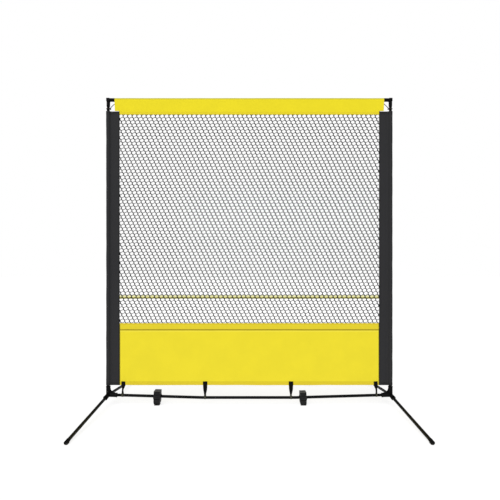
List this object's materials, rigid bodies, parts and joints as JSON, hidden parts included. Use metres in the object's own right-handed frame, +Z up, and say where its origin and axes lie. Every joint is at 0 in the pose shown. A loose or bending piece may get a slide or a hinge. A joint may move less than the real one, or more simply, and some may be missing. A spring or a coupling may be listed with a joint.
{
  "type": "pitch back rebounder",
  "caption": "Free-standing ball rebounder: a tall tubular frame on splayed legs holds an upright net between sleeves and bands, with a line to aim over.",
  "frame": {"origin": "on the ground, midway between the two uprights and midway between the front and rear legs", "axes": "+Z up; +X to the right along the bars, seen from the front; +Y to the back"},
  "size_m": [2.238, 1.5246, 2.389],
  "materials": {
    "black_steel_tube": "satin black powder coat",
    "moulded_black": "fine-textured moulding",
    "moulded_grey_black": "fine-textured moulding",
    "black_rubber": "matt rubber",
    "button_steel": "dull zinc plate",
    "spring_steel": "dull",
    "bolt_steel": "dark zinc plate",
    "black_sleeve_cloth": "coated polyester, plain weave",
    "yellow_cloth": "coated polyester, plain weave",
    "black_netting": "knitted polyester netting",
    "yellow_tape": "woven tape",
    "black_webbing": "woven polypropylene webbing",
    "black_cord": "elastic cord with a woven cover"
  },
  "bodies": {
    "frame": {"left_base_hub": "moulded_black", "left_upright_lower": "black_steel_tube", "left_upright_middle": "black_steel_tube", "left_upright_upper": "black_steel_tube", "left_front_leg": "black_steel_tube", "left_front_leg_cap": "black_rubber", "left_rear_leg": "black_steel_tube", "left_rear_leg_cap": "black_rubber", "left_top_elbow": "moulded_black", "right_base_hub": "moulded_black", "right_upright_lower": "black_steel_tube", "right_upright_middle": "black_steel_tube", "right_upright_upper": "black_steel_tube", "right_front_leg": "black_steel_tube", "right_front_leg_cap": "black_rubber", "right_rear_leg": "black_steel_tube", "right_rear_leg_cap": "black_rubber", "right_top_elbow": "moulded_black", "bottom_bar_left": "black_steel_tube", "top_bar_left": "black_steel_tube", "bottom_bar_middle": "black_steel_tube", "top_bar_middle": "black_steel_tube", "bottom_bar_right": "black_steel_tube", "top_bar_right": "black_steel_tube", "hub_button_clips": "spring_steel", "elbow_button_clips": "spring_steel", "left_side_sleeve": "black_sleeve_cloth", "right_side_sleeve": "black_sleeve_cloth", "top_band": "yellow_cloth", "lower_band": "yellow_cloth", "net_panel": "black_netting", "target_line": "yellow_tape", "middle_hem_straps": "black_webbing", "corner_hem_straps": "black_webbing", "corner_ties": "black_cord"},
    "left_hub_upright_button": {"left_hub_upright_button": "button_steel"},
    "left_hub_bar_button": {"left_hub_bar_button": "button_steel"},
    "left_hub_front_leg_button": {"left_hub_front_leg_button": "button_steel"},
    "left_hub_rear_leg_button": {"left_hub_rear_leg_button": "button_steel"},
    "left_elbow_upright_button": {"left_elbow_upright_button": "button_steel"},
    "left_elbow_top_bar_button": {"left_elbow_top_bar_button": "button_steel"},
    "right_hub_upright_button": {"right_hub_upright_button": "button_steel"},
    "right_hub_bar_button": {"right_hub_bar_button": "button_steel"},
    "right_hub_front_leg_button": {"right_hub_front_leg_button": "button_steel"},
    "right_hub_rear_leg_button": {"right_hub_rear_leg_button": "button_steel"},
    "right_elbow_upright_button": {"right_elbow_upright_button": "button_steel"},
    "right_elbow_top_bar_button": {"right_elbow_top_bar_button": "button_steel"},
    "left_bar_foot": {"left_bar_foot_block": "moulded_grey_black", "left_bar_foot_cap": "moulded_grey_black", "left_bar_foot_bolts": "bolt_steel", "left_bar_foot_nuts": "bolt_steel", "left_bar_foot_pad": "black_rubber"},
    "right_bar_foot": {"right_bar_foot_block": "moulded_grey_black", "right_bar_foot_cap": "moulded_grey_black", "right_bar_foot_bolts": "bolt_steel", "right_bar_foot_nuts": "bolt_steel", "right_bar_foot_pad": "black_rubber"}
  },
  "joints": [
    {"name": "left_hub_upright_button_press", "type": "slide", "parent": "frame", "child": "left_hub_upright_button", "axis": [0, -1, 0], "range_m": [0, 0.0081], "stiffness_N_per_m": 1500, "springref_m": -0.003},
    {"name": "left_hub_bar_button_press", "type": "slide", "parent": "frame", "child": "left_hub_bar_button", "axis": [0, -1, 0], "range_m": [0, 0.0081], "stiffness_N_per_m": 1500, "springref_m": -0.003},
    {"name": "left_hub_front_leg_button_press", "type": "slide", "parent": "frame", "child": "left_hub_front_leg_button", "axis": [1, 0, 0], "range_m": [0, 0.0081], "stiffness_N_per_m": 1500, "springref_m": -0.003},
    {"name": "left_hub_rear_leg_button_press", "type": "slide", "parent": "frame", "child": "left_hub_rear_leg_button", "axis": [1, 0, 0], "range_m": [0, 0.0081], "stiffness_N_per_m": 1500, "springref_m": -0.003},
    {"name": "left_elbow_upright_button_press", "type": "slide", "parent": "frame", "child": "left_elbow_upright_button", "axis": [0, -1, 0], "range_m": [0, 0.00495], "stiffness_N_per_m": 1500, "springref_m": -0.003},
    {"name": "left_elbow_top_bar_button_press", "type": "slide", "parent": "frame", "child": "left_elbow_top_bar_button", "axis": [0, -1, 0], "range_m": [0, 0.00495], "stiffness_N_per_m": 1500, "springref_m": -0.003},
    {"name": "right_hub_upright_button_press", "type": "slide", "parent": "frame", "child": "right_hub_upright_button", "axis": [0, -1, 0], "range_m": [0, 0.0081], "stiffness_N_per_m": 1500, "springref_m": -0.003},
    {"name": "right_hub_bar_button_press", "type": "slide", "parent": "frame", "child": "right_hub_bar_button", "axis": [0, -1, 0], "range_m": [0, 0.0081], "stiffness_N_per_m": 1500, "springref_m": -0.003},
    {"name": "right_hub_front_leg_button_press", "type": "slide", "parent": "frame", "child": "right_hub_front_leg_button", "axis": [-1, 0, 0], "range_m": [0, 0.0081], "stiffness_N_per_m": 1500, "springref_m": -0.003},
    {"name": "right_hub_rear_leg_button_press", "type": "slide", "parent": "frame", "child": "right_hub_rear_leg_button", "axis": [-1, 0, 0], "range_m": [0, 0.0081], "stiffness_N_per_m": 1500, "springref_m": -0.003},
    {"name": "right_elbow_upright_button_press", "type": "slide", "parent": "frame", "child": "right_elbow_upright_button", "axis": [0, -1, 0], "range_m": [0, 0.00495], "stiffness_N_per_m": 1500, "springref_m": -0.003},
    {"name": "right_elbow_top_bar_button_press", "type": "slide", "parent": "frame", "child": "right_elbow_top_bar_button", "axis": [0, -1, 0], "range_m": [0, 0.00495], "stiffness_N_per_m": 1500, "springref_m": -0.003},
    {"name": "left_bar_foot_turn", "type": "hinge", "parent": "frame", "child": "left_bar_foot", "pos_m": [-0.716, 0, 0.06582], "axis": [0.9996, 0, -0.0291], "range_deg": [-90, 90]},
    {"name": "right_bar_foot_turn", "type": "hinge", "parent": "frame", "child": "right_bar_foot", "pos_m": [0.418, 0, 0.05714], "axis": [0.9996, 0, 0.0291], "range_deg": [-90, 90]}
  ]
}
